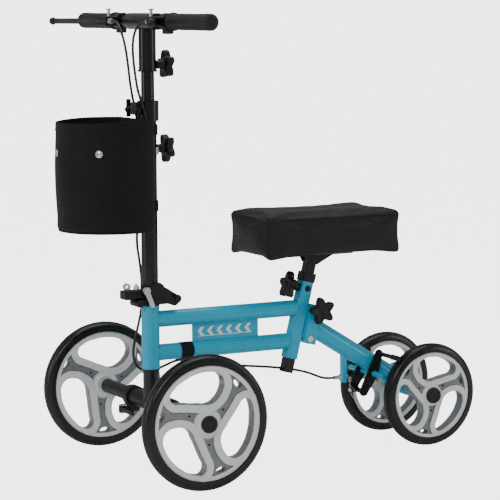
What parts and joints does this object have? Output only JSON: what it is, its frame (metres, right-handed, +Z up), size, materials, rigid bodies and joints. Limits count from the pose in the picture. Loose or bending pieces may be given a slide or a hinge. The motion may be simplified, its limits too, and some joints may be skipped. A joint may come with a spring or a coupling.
{
  "type": "knee scooter",
  "caption": "Steerable knee scooter with a padded knee rest, folding handlebar mast, front bag, hand brakes and large moulded wheels.",
  "frame": {"origin": "on the ground, midway along the overall length and width", "axes": "+X forward, +Y towards the rider's left, +Z up"},
  "size_m": [0.864, 0.572, 0.8822],
  "materials": {
    "blue_paint": "gloss sky-blue paint",
    "black_paint": "satin black powder coat",
    "black_plastic": "moulded black plastic",
    "lever_black": "black coated aluminium",
    "cable_black": "smooth black cable jacket",
    "strap_fabric": "black webbing",
    "bag_fabric": "plain-woven black coated cloth",
    "seat_vinyl": "black grained vinyl",
    "grip_rubber": "soft black rubber",
    "tyre_rubber": "solid black tyre",
    "wheel_plastic": "light silver-grey moulded plastic",
    "steel": "bright plated steel"
  },
  "bodies": {
    "frame": {"head_tube": "blue_paint", "headset_cups": "black_plastic", "seat_tube": "blue_paint", "top_tube": "blue_paint", "lower_tube": "blue_paint", "name_plate": "blue_paint", "seat_collar": "black_plastic", "cable_strap": "strap_fabric", "cable_main": "cable_black"},
    "steering": {"steerer": "black_paint", "front_axle": "black_paint", "steering_pins": "steel", "hinge_base": "black_paint"},
    "axle_lever_left": {"axle_lever_left": "black_plastic"},
    "axle_lever_right": {"axle_lever_right": "black_plastic"},
    "wheel_front_left": {"tyre_front_left": "tyre_rubber", "wheel_front_left": "wheel_plastic", "hub_cap_front_left": "black_plastic"},
    "wheel_front_right": {"tyre_front_right": "tyre_rubber", "wheel_front_right": "wheel_plastic", "hub_cap_front_right": "black_plastic"},
    "mast": {"hinge_head": "black_paint", "latch_hardware": "steel", "mast_tube": "black_paint", "height_collar": "black_paint", "bag": "bag_fabric", "mast_clips": "strap_fabric"},
    "latch_lever": {"latch_lever": "steel"},
    "height_lever": {"height_lever": "lever_black"},
    "mast_knob": {"mast_knob": "black_plastic"},
    "stem": {"stem_tube": "black_paint", "stem_head": "black_paint", "handlebar": "black_paint", "grips": "grip_rubber", "lever_perches": "black_plastic", "cable_adjusters": "steel", "cables_upper": "cable_black"},
    "stem_knob": {"stem_knob": "black_plastic"},
    "brake_lever_left": {"brake_lever_left": "lever_black"},
    "brake_lever_right": {"brake_lever_right": "lever_black"},
    "lock_pin_left": {"lock_pin_left": "steel"},
    "lock_pin_right": {"lock_pin_right": "steel"},
    "seat": {"seat_post": "black_paint", "seat_bracket": "black_paint", "seat_cushion": "seat_vinyl"},
    "seat_knob": {"seat_knob": "black_plastic"},
    "rear_frame": {"rear_tube": "blue_paint", "rear_brackets": "blue_paint", "rear_fasteners": "steel", "rear_axle": "steel", "brake_spring": "steel"},
    "rear_knob": {"rear_knob": "black_plastic"},
    "brake_rocker": {"brake_rocker": "black_paint", "brake_shoes": "grip_rubber"},
    "wheel_rear_left": {"tyre_rear_left": "tyre_rubber", "wheel_rear_left": "wheel_plastic", "hub_cap_rear_left": "black_plastic"},
    "wheel_rear_right": {"tyre_rear_right": "tyre_rubber", "wheel_rear_right": "wheel_plastic", "hub_cap_rear_right": "black_plastic"}
  },
  "joints": [
    {"name": "steering", "type": "hinge", "parent": "frame", "child": "steering", "pos_m": [0.249, 0, 0.25], "axis": [0, 0, 1], "range_deg": [-40, 40], "deforming": ["cable_main"]},
    {"name": "mast_fold", "type": "hinge", "parent": "steering", "child": "mast", "pos_m": [0.198, 0, 0.327], "axis": [0, 1, 0], "range_deg": [-48, 0]},
    {"name": "handlebar_height", "type": "slide", "parent": "mast", "child": "stem", "axis": [0, 0, 1], "range_m": [-0.045, 0.1], "deforming": ["cables_upper"]},
    {"name": "seat_height", "type": "slide", "parent": "frame", "child": "seat", "axis": [-0.2462, 0, 0.9692], "range_m": [0, 0.1]},
    {"name": "rear_fold", "type": "hinge", "parent": "frame", "child": "rear_frame", "pos_m": [-0.09199, 0, 0.22595], "axis": [0, 1, 0], "range_deg": [-80, 0]},
    {"name": "wheel_front_left_spin", "type": "hinge", "parent": "steering", "child": "wheel_front_left", "pos_m": [0.249, 0.2325, 0.127], "axis": [0, 1, 0], "continuous": true},
    {"name": "wheel_rear_left_spin", "type": "hinge", "parent": "rear_frame", "child": "wheel_rear_left", "pos_m": [-0.328, 0.086, 0.104], "axis": [0, 1, 0], "continuous": true},
    {"name": "wheel_front_right_spin", "type": "hinge", "parent": "steering", "child": "wheel_front_right", "pos_m": [0.249, -0.2325, 0.127], "axis": [0, 1, 0], "continuous": true},
    {"name": "wheel_rear_right_spin", "type": "hinge", "parent": "rear_frame", "child": "wheel_rear_right", "pos_m": [-0.328, -0.086, 0.104], "axis": [0, 1, 0], "continuous": true},
    {"name": "brake_lever_left", "type": "hinge", "parent": "stem", "child": "brake_lever_left", "pos_m": [0.285, 0.105, 0.858], "axis": [0, 0, 1], "range_deg": [0, 18], "stiffness_Nm_per_rad": 1.2, "springref_deg": -8.59},
    {"name": "brake_lever_right", "type": "hinge", "parent": "stem", "child": "brake_lever_right", "pos_m": [0.285, -0.105, 0.858], "axis": [0, 0, -1], "range_deg": [0, 18], "stiffness_Nm_per_rad": 1.2, "springref_deg": -8.59},
    {"name": "brake_rocker", "type": "hinge", "parent": "rear_frame", "child": "brake_rocker", "pos_m": [-0.236, 0, 0.144], "axis": [0, -1, 0], "range_deg": [0, 4.8], "deforming": ["brake_spring"]},
    {"name": "lock_pin_left", "type": "slide", "parent": "stem", "child": "lock_pin_left", "axis": [0, 0, 1], "range_m": [0, 0.006], "stiffness_N_per_m": 300, "springref_m": -0.004},
    {"name": "lock_pin_right", "type": "slide", "parent": "stem", "child": "lock_pin_right", "axis": [0, 0, 1], "range_m": [0, 0.006], "stiffness_N_per_m": 300, "springref_m": -0.004},
    {"name": "latch_lever", "type": "hinge", "parent": "mast", "child": "latch_lever", "pos_m": [0.267, 0.022, 0.3473], "axis": [0, 1, 0], "range_deg": [-100, 0]},
    {"name": "height_lever", "type": "hinge", "parent": "mast", "child": "height_lever", "pos_m": [0.275, -0.029, 0.691], "axis": [1, 0, 0], "range_deg": [0, 60]},
    {"name": "axle_lever_left", "type": "hinge", "parent": "steering", "child": "axle_lever_left", "pos_m": [0.274, 0.082, 0.103], "axis": [0, 0, 1], "range_deg": [0, 95]},
    {"name": "axle_lever_right", "type": "hinge", "parent": "steering", "child": "axle_lever_right", "pos_m": [0.274, -0.082, 0.103], "axis": [0, 0, -1], "range_deg": [0, 95]},
    {"name": "stem_knob", "type": "hinge", "parent": "stem", "child": "stem_knob", "pos_m": [0.2325, 0, 0.776], "axis": [-1, 0, 0], "continuous": true},
    {"name": "mast_knob", "type": "hinge", "parent": "mast", "child": "mast_knob", "pos_m": [0.2331, 0, 0.617], "axis": [-1, 0, 0], "continuous": true},
    {"name": "seat_knob", "type": "hinge", "parent": "frame", "child": "seat_knob", "pos_m": [-0.07632, 0, 0.32877], "axis": [0.9692, 0, 0.2462], "continuous": true},
    {"name": "rear_knob", "type": "hinge", "parent": "rear_frame", "child": "rear_knob", "pos_m": [-0.10998, 0.018, 0.28298], "axis": [0, 1, 0], "continuous": true}
  ],
  "couplings": [
    {"joint": "brake_rocker", "follows": "brake_lever_left", "ratio": 0.2666}
  ]
}
